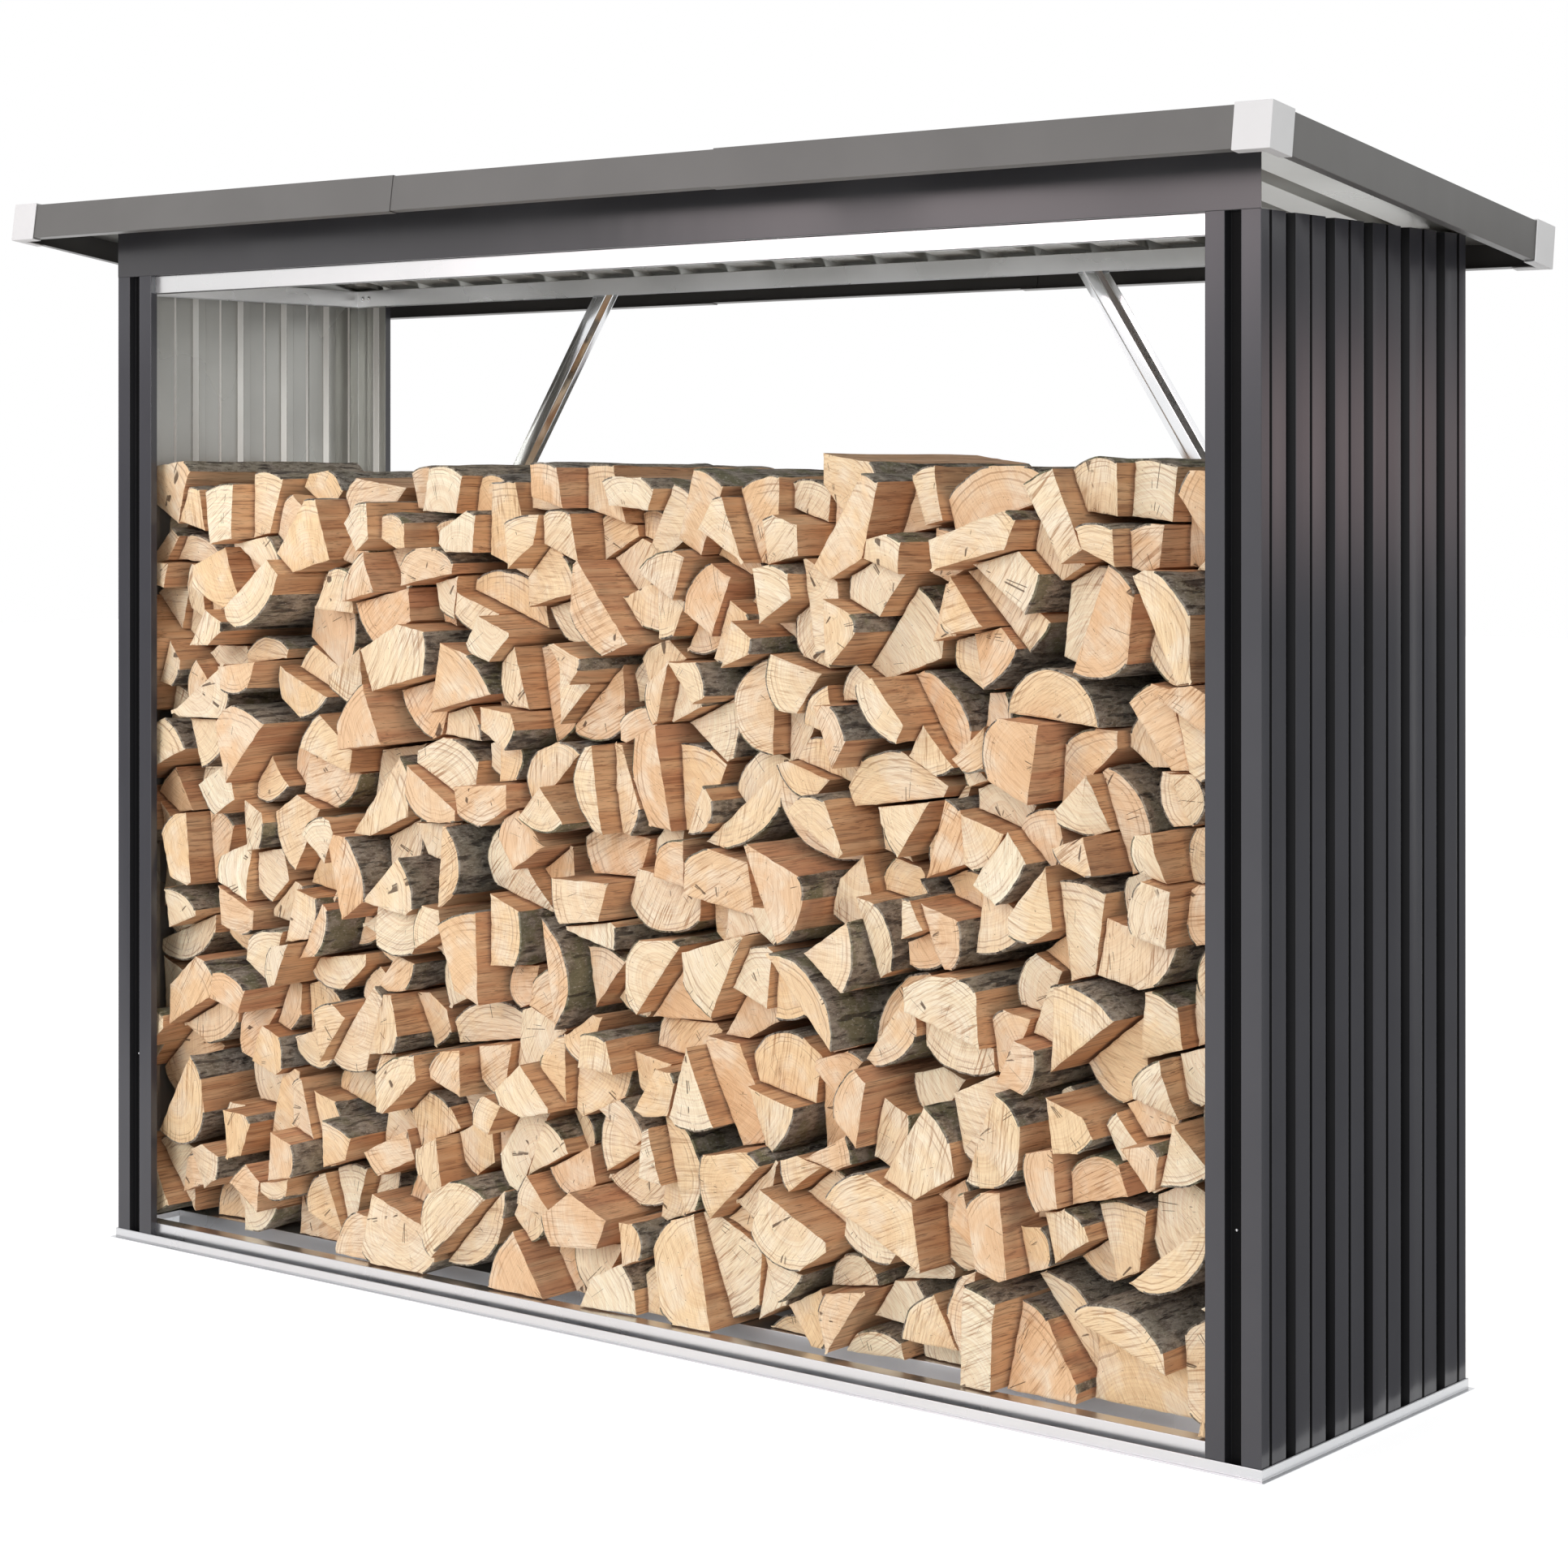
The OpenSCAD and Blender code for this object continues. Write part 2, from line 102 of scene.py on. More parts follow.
# How far the roughness of a log reaches, in metres, and how fine it is
SPLIT_ROUGH = 0.0022
BARK_ROUGH = 0.0026
LOG_SWAY = 0.0014
BARK_LUMPS = 24
BARK_RIDGES = 70
FIBRES_ACROSS = 75
FIBRES_ALONG = 6
FINER_FIBRES = 2.3
SWAY_BENDS = 6
WEAR_NICKS = 160

# Screws, with lengths in metres
SCREW_WASHER = 0.0046
SCREW_PLATE = 0.0004
SCREW_SIDES = 12
SCREW_SHARP = math.radians(40)
SCREW_STEPS = (
    (0.0002, 0.0005), (0.0010, 0.0001), (0.0003, 0.0011),
    (0.0008, 0.0006), (0.0006, 0.0), (0.0002, -0.0009),
)
RAIL_SCREWS = (0.012, 0.026)
RIVET_Z = 0.284
GROOVE_DEPTH = 0.009
RIVET_SCALE = 0.34

# Light and floor
WORLD_LIGHT = 0.6
FLOOR_GLOW = 0.58
FLOOR_HALF = 20
FLOOR_BELOW = 0.0005
KEY_LIGHT = 1.1
KEY_FROM = Vector((0.35, -1.0, 0.35))
KEY_SPREAD = math.radians(24)


def make_camera():
    data = bpy.data.cameras.new("camera")
    data.sensor_width = SENSOR_MM
    data.lens = FOCAL_PX / PHOTO_PX * SENSOR_MM
    data.shift_y = -(PHOTO_PX / 2 - HORIZON_PX) / PHOTO_PX
    data.clip_end = 60.0
    camera = bpy.data.objects.new("camera", data)
    camera.location = BASE_CORNER + CAMERA_FROM_CORNER
    camera.rotation_euler = (math.radians(90), 0, VIEW_TURN)
    bpy.context.scene.collection.objects.link(camera)
    bpy.context.scene.camera = camera


# Shader helpers

def tint(red, green, blue):
    """A colour written as it looks on a screen, 0 to 255, as the shader takes it."""
    def linear(value):
        value = value / 255
        return value / 12.92 if value <= 0.04045 else ((value + 0.055) / 1.055) ** 2.4
    return (linear(red), linear(green), linear(blue), 1.0)


def place(tree, kind, inputs=None, **settings):
    made = tree.nodes.new("ShaderNode" + kind)
    for key, value in settings.items():
        setattr(made, key, value)
    for key, value in (inputs or {}).items():
        if isinstance(value, bpy.types.NodeSocket):
            tree.links.new(value, made.inputs[key])
        else:
            made.inputs[key].default_value = value
    return made


def calc(tree, operation, first, second=0.0, third=0.0):
    inputs = {0: first, 1: second, 2: third}
    return place(tree, "Math", inputs, operation=operation).outputs[0]


def scaled(tree, vector, x, y, z):
    return place(tree, "VectorMath", {0: vector, 1: (x, y, z)}, operation="MULTIPLY").outputs[0]


def cloud(tree, vector, scale, detail=2.0, rough=0.5):
    inputs = {"Vector": vector, "Scale": scale, "Detail": detail, "Roughness": rough}
    return place(tree, "TexNoise", inputs).outputs[0]


def line_cloud(tree, value, scale, detail=2.0):
    inputs = {"W": value, "Scale": scale, "Detail": detail}
    return place(tree, "TexNoise", inputs, noise_dimensions="1D").outputs[0]


def stretch(tree, value, low, high, to_low=0.0, to_high=1.0):
    inputs = {0: value, 1: low, 2: high, 3: to_low, 4: to_high}
    return place(tree, "MapRange", inputs, interpolation_type="SMOOTHSTEP").outputs[0]


def blend(tree, share, first, second):
    """A mix of two colours, which a colour mix takes at its sockets 6 and 7."""
    inputs = {0: share, 6: first, 7: second}
    return place(tree, "Mix", inputs, data_type="RGBA").outputs[2]


def bumped(tree, height, strength, distance):
    inputs = {"Height": height, "Strength": strength, "Distance": distance}
    return place(tree, "Bump", inputs).outputs[0]


def object_place(tree):
    return place(tree, "TexCoord").outputs["Object"]


def log_grain(tree):
    """The place in the log, from its pith."""
    return place(tree, "Attribute", attribute_name="grain").outputs["Vector"]


def log_number(tree, name):
    return place(tree, "Attribute", attribute_name=name).outputs["Fac"]


def log_fraction(tree, tone, times):
    """Another number of the log's own, from 0 to 1, made from its tone."""
    return calc(tree, "FRACT", calc(tree, "MULTIPLY", tone, times))


def new_group(name, *outputs):
    group = bpy.data.node_groups.new(name, "ShaderNodeTree")
    for label in outputs:
        group.interface.new_socket(label, in_out="OUTPUT", socket_type="NodeSocketFloat")
    return group


def give(group, **sockets):
    ends = group.nodes.new("NodeGroupOutput")
    for label, socket in sockets.items():
        group.links.new(socket, ends.inputs[label])


def use_group(tree, group):
    return place(tree, "Group", node_tree=group).outputs


def new_material(name, roughness, metallic=0.0):
    material = bpy.data.materials.new(name)
    material.use_nodes = True
    shader = material.node_tree.nodes["Principled BSDF"]
    shader.inputs["Roughness"].default_value = roughness
    shader.inputs["Metallic"].default_value = metallic
    return material, material.node_tree, shader.inputs


# Sheet metal finishes

def sheet_ripple():
    """Long waves of a rolled sheet, the fine skin of its paint and faint marks."""
    group = new_group("sheet_ripple", "Height", "Tone", "Gloss")
    where = object_place(group)
    waves = cloud(group, scaled(group, where, 16, 16, 0.9), 1.0, 1.0)
    slow = cloud(group, scaled(group, where, 4, 4, 1.2), 1.0, 1.0)
    skin = cloud(group, where, 700.0, 1.0)
    marks = cloud(group, where, 7.0, 3.0, 0.55)
    height = calc(group, "MULTIPLY_ADD", skin, 0.0015, waves)
    give(group, Height=height, Tone=stretch(group, marks, 0.3, 0.7), Gloss=stretch(group, slow, 0.3, 0.7))
    return group


def zinc_spangle():
    """Faint crystal flakes of a hot dipped sheet, and slow clouds over them."""
    group = new_group("zinc_spangle", "Tone", "Gloss", "Height")
    where = object_place(group)
    inputs = {"Vector": where, "Scale": 110.0, "Randomness": 1.0}
    flakes = place(group, "TexVoronoi", inputs).outputs["Color"]
    flake = place(group, "SeparateColor", {0: flakes}).outputs[0]
    patches = cloud(group, where, 6.0, 3.0)
    tone = calc(group, "MULTIPLY_ADD", flake, 0.1, calc(group, "MULTIPLY", patches, 0.9))
    waves = cloud(group, scaled(group, where, 3, 5, 5), 1.0, 1.0)
    give(group, Tone=tone, Gloss=stretch(group, patches, 0.3, 0.7), Height=waves)
    return group


def coat(tree, inputs, group, dark, light, rough, wave, depth):
    """Give a shader the tone, the gloss and the waves of a sheet."""
    sheet = use_group(tree, group)
    tree.links.new(blend(tree, sheet["Tone"], dark, light), inputs["Base Color"])
    tree.links.new(stretch(tree, sheet["Gloss"], 0, 1, *rough), inputs["Roughness"])
    tree.links.new(bumped(tree, sheet["Height"], wave, depth), inputs["Normal"])


def painted_sheet(name, ripple, dark, light, rough, gloss, wave):
    material, tree, inputs = new_material(name, rough[0])
    inputs["Specular IOR Level"].default_value = gloss
    coat(tree, inputs, ripple, dark, light, rough, wave, depth=PAINT_WAVE)
    return material


def bare_zinc(name, spangle, dark, light, rough):
    material, tree, inputs = new_material(name, rough[0], metallic=1.0)
    coat(tree, inputs, spangle, dark, light, rough, wave=0.05, depth=ZINC_WAVE)
    return material


def backing_coat(name, ripple, dark, light, metallic):
    """Thin grey primer on the back of a painted sheet, with the metal's sheen through it."""
    rough = (0.26, 0.34)
    material, tree, inputs = new_material(name, rough[0], metallic)
    coat(tree, inputs, ripple, dark, light, rough, wave=0.15, depth=PAINT_WAVE)
    return material


def moulded_plastic(name, dark, light):
    material, tree, inputs = new_material(name, 0.42)
    where = object_place(tree)
    cloudy = cloud(tree, where, 30.0, 3.0)
    grain = cloud(tree, where, 1400.0, 1.0)
    tree.links.new(blend(tree, cloudy, dark, light), inputs["Base Color"])
    tree.links.new(stretch(tree, cloudy, 0.3, 0.7, 0.38, 0.5), inputs["Roughness"])
    tree.links.new(bumped(tree, grain, 0.08, 0.0004), inputs["Normal"])
    return material


# Firewood finishes

def ring_line(tree, share, where, depth):
    """A thin line all round the log, at a share of its girth."""
    off = calc(tree, "ABSOLUTE", calc(tree, "SUBTRACT", share, where))
    return stretch(tree, off, 0.004, 0.014, depth, 0.0)


def growth_rings():
    """Year rings about the pith, the darker lines near the bark, and numbers of the log's own."""
    group = new_group("growth_rings", "Rings", "Lines", "Heart", "Tone", "Kind", "Blush", "Reach")
    grain = log_grain(group)
    tone = log_number(group, "tone")
    girth = log_number(group, "girth")
    across = scaled(group, grain, 1, 0, 1)
    reach = place(group, "VectorMath", {0: across}, operation="LENGTH").outputs["Value"]
    bend = cloud(group, scaled(group, grain, 1, 0.06, 1), 26.0, 3.0)
    years = calc(group, "MULTIPLY_ADD", bend, 0.01, reach)
    own = calc(group, "MULTIPLY_ADD", tone, 7.0, years)
    wide = line_cloud(group, own, 100.0, 2.0)
    fine = line_cloud(group, own, 380.0, 1.0)
    rings = calc(group, "MULTIPLY_ADD", wide, 0.45, calc(group, "MULTIPLY", fine, 0.55))
    share = calc(group, "DIVIDE", calc(group, "SUBTRACT", years, 0.005), girth)
    inner = ring_line(group, share, 0.82, 0.8)
    outer = ring_line(group, share, 0.9, 1.0)
    broken = stretch(group, cloud(group, grain, 40.0, 2.0), 0.36, 0.52)
    lines = calc(group, "MULTIPLY", calc(group, "MAXIMUM", inner, outer), broken)
    heart = stretch(group, years, 0.022, 0.062, 1.0, 0.0)
    kind = log_fraction(group, tone, 7.31)
    blush = log_fraction(group, tone, 13.7)
    clear = stretch(group, rings, 0.36, 0.64)
    give(group, Rings=clear, Lines=lines, Heart=heart, Tone=tone, Kind=kind, Blush=blush, Reach=reach)
    return group


def sawn_end(rings):
    """Sawn face: pale and smooth, ringed or torn by the saw, as the log's own numbers give it."""
    material, tree, inputs = new_material("sawn_end", 0.8)
    wood = use_group(tree, rings)
    grain = log_grain(tree)
    turn = calc(tree, "MULTIPLY", wood["Tone"], 23.0)
    turned = place(tree, "VectorRotate", {"Vector": grain, "Angle": turn}, rotation_type="Y_AXIS").outputs[0]
    drift = {0: cloud(tree, grain, 24.0, 2.0), 1: (0.0025, 0, 0), 2: turned}
    swung = place(tree, "VectorMath", drift, operation="MULTIPLY_ADD").outputs[0]
    strokes = cloud(tree, scaled(tree, swung, 380, 4, 16), 1.0, 3.0, 0.62)
    hairs = cloud(tree, scaled(tree, swung, 820, 4, 36), 1.0, 2.0, 0.6)
    torn = stretch(tree, strokes, 0.54, 0.65)
    scratched = stretch(tree, hairs, 0.5, 0.7)
    patches = stretch(tree, cloud(tree, grain, 26.0, 2.0), 0.36, 0.6, 0.3, 1.0)
    bluntness = stretch(tree, wood["Kind"], 0.25, 0.7, 0.12, 0.72)
    saw = calc(tree, "MULTIPLY", torn, calc(tree, "MULTIPLY", patches, bluntness))
    parts = place(tree, "SeparateXYZ", {0: grain}).outputs
    angle = calc(tree, "ARCTAN2", parts[2], parts[0])
    spokes = line_cloud(tree, calc(tree, "MULTIPLY_ADD", wood["Tone"], 31.0, angle), 1.3, 1.0)
    nearly = calc(tree, "ABSOLUTE", calc(tree, "SUBTRACT", spokes, 0.5))
    spoke = stretch(tree, calc(tree, "MULTIPLY", nearly, wood["Reach"]), 0.00004, 0.00016, 1.0, 0.0)
    breaks = stretch(tree, cloud(tree, grain, 52.0, 1.0), 0.56, 0.61)
    crack = calc(tree, "MULTIPLY", spoke, breaks)
    pores = cloud(tree, grain, 800.0, 2.0)
    flecks = stretch(tree, cloud(tree, grain, 300.0, 1.0), 0.73, 0.79)
    cloudy = cloud(tree, grain, 20.0, 3.0, 0.6)

    pale = blend(tree, wood["Tone"], tint(255, 245, 216), tint(252, 222, 176))
    blushed = blend(tree, stretch(tree, wood["Blush"], 0.45, 1.0, 0.0, 0.75), pale, tint(240, 196, 152))
    lit = blend(tree, stretch(tree, cloudy, 0.42, 0.66, 0.0, 0.6), blushed, tint(255, 246, 224))
    ringed = blend(tree, calc(tree, "MULTIPLY", wood["Rings"], 0.26), lit, tint(214, 164, 112))
    hearted = blend(tree, calc(tree, "MULTIPLY", wood["Heart"], 0.16), ringed, tint(214, 156, 100))
    lined = blend(tree, calc(tree, "MULTIPLY", wood["Lines"], 0.5), hearted, tint(150, 98, 56))
    sawn = blend(tree, saw, lined, tint(164, 112, 70))
    haired = blend(tree, calc(tree, "MULTIPLY", scratched, 0.36), sawn, tint(176, 122, 78))
    pored = blend(tree, stretch(tree, pores, 0.58, 0.78, 0.0, 0.22), haired, tint(184, 132, 88))
    flecked = blend(tree, calc(tree, "MULTIPLY", flecks, 0.6), pored, tint(108, 70, 42))
    cracked = blend(tree, calc(tree, "MULTIPLY", crack, 0.85), flecked, tint(72, 46, 28))
    tree.links.new(cracked, inputs["Base Color"])
    cut = calc(tree, "MULTIPLY_ADD", torn, -0.6, calc(tree, "MULTIPLY", scratched, -0.25))
    height = calc(tree, "MULTIPLY_ADD", crack, -2.0, cut)
    tree.links.new(bumped(tree, height, 0.5, 0.0013), inputs["Normal"])
    return material


def split_side(rings):
    """Split face: long torn fibres, light and dark streaks and grey weathering."""
    material, tree, inputs = new_material("split_side", 0.78)
    wood = use_group(tree, rings)
    grain = log_grain(tree)
    wavy = {0: cloud(tree, scaled(tree, grain, 9, 7, 9), 1.0, 2.0), 1: (0.012, 0, 0.012), 2: grain}
    swung = place(tree, "VectorMath", wavy, operation="MULTIPLY_ADD").outputs[0]
    bands = cloud(tree, scaled(tree, swung, 60, 2.0, 60), 1.0, 2.0)
    streaks = cloud(tree, scaled(tree, swung, 240, 5, 240), 1.0, 4.0, 0.65)
    fibres = cloud(tree, scaled(tree, swung, 700, 11, 700), 1.0, 3.0, 0.6)
    stains = cloud(tree, grain, 14.0, 3.0)

    warm = blend(tree, wood["Tone"], tint(228, 180, 136), tint(204, 154, 113))
    blushed = blend(tree, stretch(tree, wood["Blush"], 0.5, 1.0, 0.0, 0.7), warm, tint(210, 154, 118))
    banded = blend(tree, stretch(tree, bands, 0.4, 0.64, 0.0, 0.7), blushed, tint(238, 200, 158))
    streaked = blend(tree, stretch(tree, streaks, 0.5, 0.66, 0.0, 0.62), banded, tint(142, 94, 63))
    fibred = blend(tree, stretch(tree, fibres, 0.54, 0.68, 0.0, 0.62), streaked, tint(98, 60, 40))
    stained = blend(tree, stretch(tree, stains, 0.54, 0.74, 0.0, 0.4), fibred, tint(142, 114, 94))
    tree.links.new(stained, inputs["Base Color"])
    height = calc(tree, "MULTIPLY_ADD", fibres, -0.5, calc(tree, "MULTIPLY", streaks, -0.8))
    tree.links.new(bumped(tree, height, 0.7, 0.0025), inputs["Normal"])
    return material


def rough_bark():
    """Grey brown bark: long plates between dark fissures, pale flecks and a green bloom."""
    material, tree, inputs = new_material("rough_bark", 0.9)
    grain = log_grain(tree)
    tone = log_number(tree, "tone")
    ridges = cloud(tree, scaled(tree, grain, 170, 44, 170), 1.0, 5.0, 0.72)
    fissures = cloud(tree, scaled(tree, grain, 110, 15, 110), 1.0, 3.0, 0.6)
    deep = stretch(tree, fissures, 0.34, 0.47, 1.0, 0.0)
    growth = cloud(tree, grain, 24.0, 4.0, 0.6)
    flecks = cloud(tree, scaled(tree, grain, 340, 150, 340), 1.0, 3.0, 0.65)
    green = log_fraction(tree, tone, 5.3)
    spread = stretch(tree, growth, 0.44, 0.6)
    bloom = calc(tree, "MULTIPLY", spread, stretch(tree, green, 0.2, 0.8, 0.2, 0.8))

    plates = blend(tree, tone, tint(198, 182, 160), tint(184, 176, 164))
    ridged = blend(tree, stretch(tree, ridges, 0.32, 0.62), tint(112, 99, 87), plates)
    lichen = blend(tree, bloom, ridged, tint(132, 130, 96))
    flecked = blend(tree, stretch(tree, flecks, 0.56, 0.7, 0.0, 0.7), lichen, tint(220, 212, 198))
    split = blend(tree, calc(tree, "MULTIPLY", deep, 0.75), flecked, tint(62, 51, 44))
    tree.links.new(split, inputs["Base Color"])
    height = calc(tree, "MULTIPLY_ADD", deep, -0.8, ridges)
    tree.links.new(bumped(tree, height, 1.0, 0.007), inputs["Normal"])
    return material


# Pieces

def merged_copy(node):
    bm = bmesh.new()
    bm.from_mesh(node.data)
    bmesh.ops.remove_doubles(bm, verts=bm.verts, dist=MERGE_WITHIN)
    bmesh.ops.dissolve_limit(bm, angle_limit=SAME_PLANE, verts=bm.verts, edges=bm.edges)
    bm.normal_update()
    return bm


def new_object(bm, name, *materials):
    mesh = bpy.data.meshes.new(name)
    bm.to_mesh(mesh)
    bm.free()
    for material in materials:
        mesh.materials.append(material)
    made = bpy.data.objects.new(name, mesh)
    bpy.context.scene.collection.objects.link(made)
    return made


def add_piece(bm, name, materials, slot, *nodes):
    piece = new_object(bm, name, *materials)
    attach(piece, "root")
    if nodes:
        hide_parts(*nodes)
    return piece


def even_normals(piece):
    finish = piece.modifiers.new("even_normals", "WEIGHTED_NORMAL")
    finish.keep_sharp = True


def mark_sharp(bm, angle):
    for face in bm.faces:
        face.smooth = True
    for edge in bm.edges:
        edge.smooth = edge.calc_face_angle(math.pi) < angle


def round_edges(bm, edges, radius):
    bmesh.ops.bevel(bm, geom=edges, offset=radius, affect="EDGES", segments=2, profile=0.5, material=-1,
                    clamp_overlap=True)


def face_width(face):
    return 2 * face.calc_area() / sum(edge.calc_length() for edge in face.edges)


def side_of_sheet(broad, outward):
    """The faces on one side of a bent sheet, reached over its folds from the outermost one."""
    def facing(face):
        return round(face.normal.dot(outward), 2), face.calc_center_median().dot(outward)
    found = {max(broad, key=facing)}
    todo = list(found)
    while todo:
        for edge in todo.pop().edges:
            for face in edge.link_faces:
                if face in broad and face not in found:
                    found.add(face)
                    todo.append(face)
    return found


def squareness(face):
    """One for a face square to the width or the depth, and less for a slanted one."""
    return max(abs(face.normal.x), abs(face.normal.y))


def painted_shade_part(face, box):
    """Which finish an outer face of a wall takes: painted shade on a groove's side, its floor or a bead's
    side, and the plain paint on a flat.
    """
    if squareness(face) < STEEP:
        return GROOVE_SHADE
    if squareness(face) < FLAT_ON:
        return CREASE_SHADE
    spot = face.calc_center_median()
    axis = 0 if abs(face.normal.x) > abs(face.normal.y) else 1
    inside = box[0][axis] + GROOVE_LEAST < spot[axis] < box[1][axis] - GROOVE_LEAST
    return CREASE_SHADE if inside else FLAT


def mark_painted_light(broad, outer, box):
    """Paint shade on the groove sides, groove floors and beads outside, and a painted highlight inside on
    the slanted faces and the front halves of the beads.
    """
    for face in broad:
        if face in outer:
            face.material_index = painted_shade_part(face, box)
        elif squareness(face) < STEEP or (squareness(face) < FLAT_ON and face.normal.y < 0):
            face.material_index = PAINTED_HIGHLIGHT


def folded_sheet(name, outward, outside, inside, slot, *painted_light_finishes):
    """A bent sheet with rounded folds, one finish outside and another inside and on its cut edges.

    A wall has three finishes more: painted shade for its creases, groove floors and groove sides, and a
    painted highlight on its inner slants.
    """
    bm = merged_copy(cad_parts[name])
    broad = {face for face in bm.faces if face_width(face) > NARROW}
    outer = side_of_sheet(broad, outward)
    for face in bm.faces:
        face.material_index = FLAT if face in outer else BACKING
    if painted_light_finishes:
        mark_painted_light(broad, outer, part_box(name))
    folds = [
        edge for edge in bm.edges
        if all(face in broad for face in edge.link_faces) and edge.calc_face_angle(0) > FOLD_LEAST
    ]
    round_edges(bm, folds, FOLD_RADIUS)
    mark_sharp(bm, SHEET_SHARP)
    even_normals(add_piece(bm, name + "_sheet", (outside, inside) + painted_light_finishes, slot, name))


def moulded_cap(name, plastic):
    bm = merged_copy(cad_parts[name])
    corners = [edge for edge in bm.edges if edge.calc_face_angle(0) > FOLD_LEAST and edge.is_convex]
    round_edges(bm, corners, CAP_EDGE)
    mark_sharp(bm, SHEET_SHARP)
    even_normals(add_piece(bm, name + "_moulding", (plastic,), "cap_plastic", name))


def add_screw(bm, spot, outward, scale=1.0):
    """A pan head with a washer and a round socket, set on a sheet and facing outward."""
    before = set(bm.verts)
    head = bmesh.ops.create_cone(bm, cap_ends=True, segments=SCREW_SIDES, radius1=SCREW_WASHER,
                                 radius2=SCREW_WASHER, depth=SCREW_PLATE)["verts"]
    bmesh.ops.translate(bm, verts=head, vec=(0, 0, SCREW_PLATE / 2))
    top = max((face for v in head for face in v.link_faces), key=lambda face: face.calc_center_median().z)
    for thickness, depth in SCREW_STEPS:
        bmesh.ops.inset_individual(bm, faces=[top], thickness=thickness, depth=depth)
    turn = outward.to_track_quat("Z", "Y").to_matrix().to_4x4()
    added = [v for v in bm.verts if v not in before]
    bmesh.ops.transform(bm, matrix=Matrix.Translation(spot) @ turn @ Matrix.Scale(scale, 4), verts=added)


def add_screws(name, spots, metal, scale=1.0):
    bm = bmesh.new()
    for spot, outward in spots:
        add_screw(bm, spot, outward, scale)
    bm.normal_update()
    mark_sharp(bm, SCREW_SHARP)
    add_piece(bm, name, (metal,), "zinc_brace")


def rail_screws(metal):
    """A pair of screws at each end of the front and back top rails, on their inner sides."""
    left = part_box("top_rail_left")[1].x
    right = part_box("top_rail_right")[0].x
    low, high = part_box("top_rail_back")
    z = (low.z + high.z) / 2
    spots = []
    for gap in RAIL_SCREWS:
        for x in (left + gap, right - gap):
            spots.append((Vector((x, low.y, z)), FRONT))
            spots.append((Vector((x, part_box("top_rail_front")[1].y, z)), BACK))
    add_screws("rail_screws", spots, metal)


def groove_rivets(metal):
    """One small rivet low in the groove of each return of the walls."""
    spots = []
    for side in ("wall_left", "wall_right"):
        low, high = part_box(side)
        x = (low.x + high.x) / 2
        spots.append((Vector((x, low.y + GROOVE_DEPTH, RIVET_Z)), FRONT))
        spots.append((Vector((x, high.y - GROOVE_DEPTH, RIVET_Z)), BACK))
    add_screws("groove_rivets", spots, metal, RIVET_SCALE)


def saw_cut(pick):
    """Tilt of a sawn end over and up, and the turn and slope of the fold where two cuts met."""
    over = pick.uniform(-END_TILT, END_TILT)
    up = pick.uniform(-END_TILT, END_TILT)
    turn = pick.uniform(0, 2 * math.pi)
    slope = pick.uniform(FOLD_SHARE_LEAST, 1.0) * END_FOLD
    return over, up, turn, slope if pick.random() < FOLDED_SHARE else 0.0


class Log:
    """Facts of one split log: its ends, its pith and the random numbers of its looks."""

    def __init__(self, end, back, pick):
        points = [v.co for v in end.verts]
        self.front = points[0].y
        self.back = back
        self.middle = sum(points, Vector()) / len(points)
        self.pith, self.girth = find_pith(end) or (self.middle, NO_BARK)
        self.tone = pick.random()
        self.seed = Vector([pick.uniform(-SEED_SPREAD, SEED_SPREAD) for _ in range(3)])
        self.cuts = [saw_cut(pick) for _ in range(2)]

    def along(self, y):
        return (y - self.front) / (self.back - self.front)

    def set_back(self, which, point):
        """How far a sawn end stands back at a point of it; no part of it stands forward."""
        over, up, turn, fold = self.cuts[which]
        x = point.x - self.middle.x
        z = point.z - self.middle.z
        reach = HALF_LOG * (abs(over) + abs(up))
        past_fold = max(0.0, x * math.cos(turn) + z * math.sin(turn))
        return max(0.0, reach + over * x + up * z) + fold * past_fold


def find_pith(end):
    """The middle and radius of the round that the bark follows."""
    round_points = [
        v.co for v in end.verts
        if any(face.material_index == BARK for face in v.link_faces)
    ]
    if len(round_points) < 3:
        return None
    a, b, c = round_points[0], round_points[len(round_points) // 2], round_points[-1]
    ab, ac = b - a, c - a
    twice = 2 * (ab.x * ac.z - ab.z * ac.x)
    if abs(twice) < ON_A_LINE:
        return None
    x = (ac.z * ab.length_squared - ab.z * ac.length_squared) / twice
    z = (ab.x * ac.length_squared - ac.x * ab.length_squared) / twice
    radius = math.hypot(x, z)
    return (a + Vector((x, 0, z)), radius) if radius < LARGEST_ROUND else None


def sort_faces(bm, mesh):
    """Mark ends, split sides and the round bark sides, which are the only ones with bent normals."""
    bm.faces.ensure_lookup_table()
    for face, polygon in zip(bm.faces, mesh.polygons):
        bend = min(mesh.corner_normals[i].vector.dot(polygon.normal) for i in polygon.loop_indices)
        if abs(polygon.normal.y) > END_FACING:
            face.material_index = END
        else:
            face.material_index = BARK if bend < STRAIGHT else SPLIT


def connected(vert):
    found = {vert}
    todo = [vert]
    while todo:
        for edge in todo.pop().link_edges:
            for other in edge.verts:
                if other not in found:
                    found.add(other)
                    todo.append(other)
    return found


def find_logs(bm, which, pick):
    logs = []
    for end in [face for face in bm.faces if face.material_index == END and face.normal.y < 0]:
        verts = connected(end.verts[0])
        for v in verts:
            v[which] = len(logs)
        logs.append(Log(end, max(v.co.y for v in verts), pick))
    return logs


def edge_depth(edge):
    return abs(edge.verts[0].co.y - edge.verts[1].co.y)


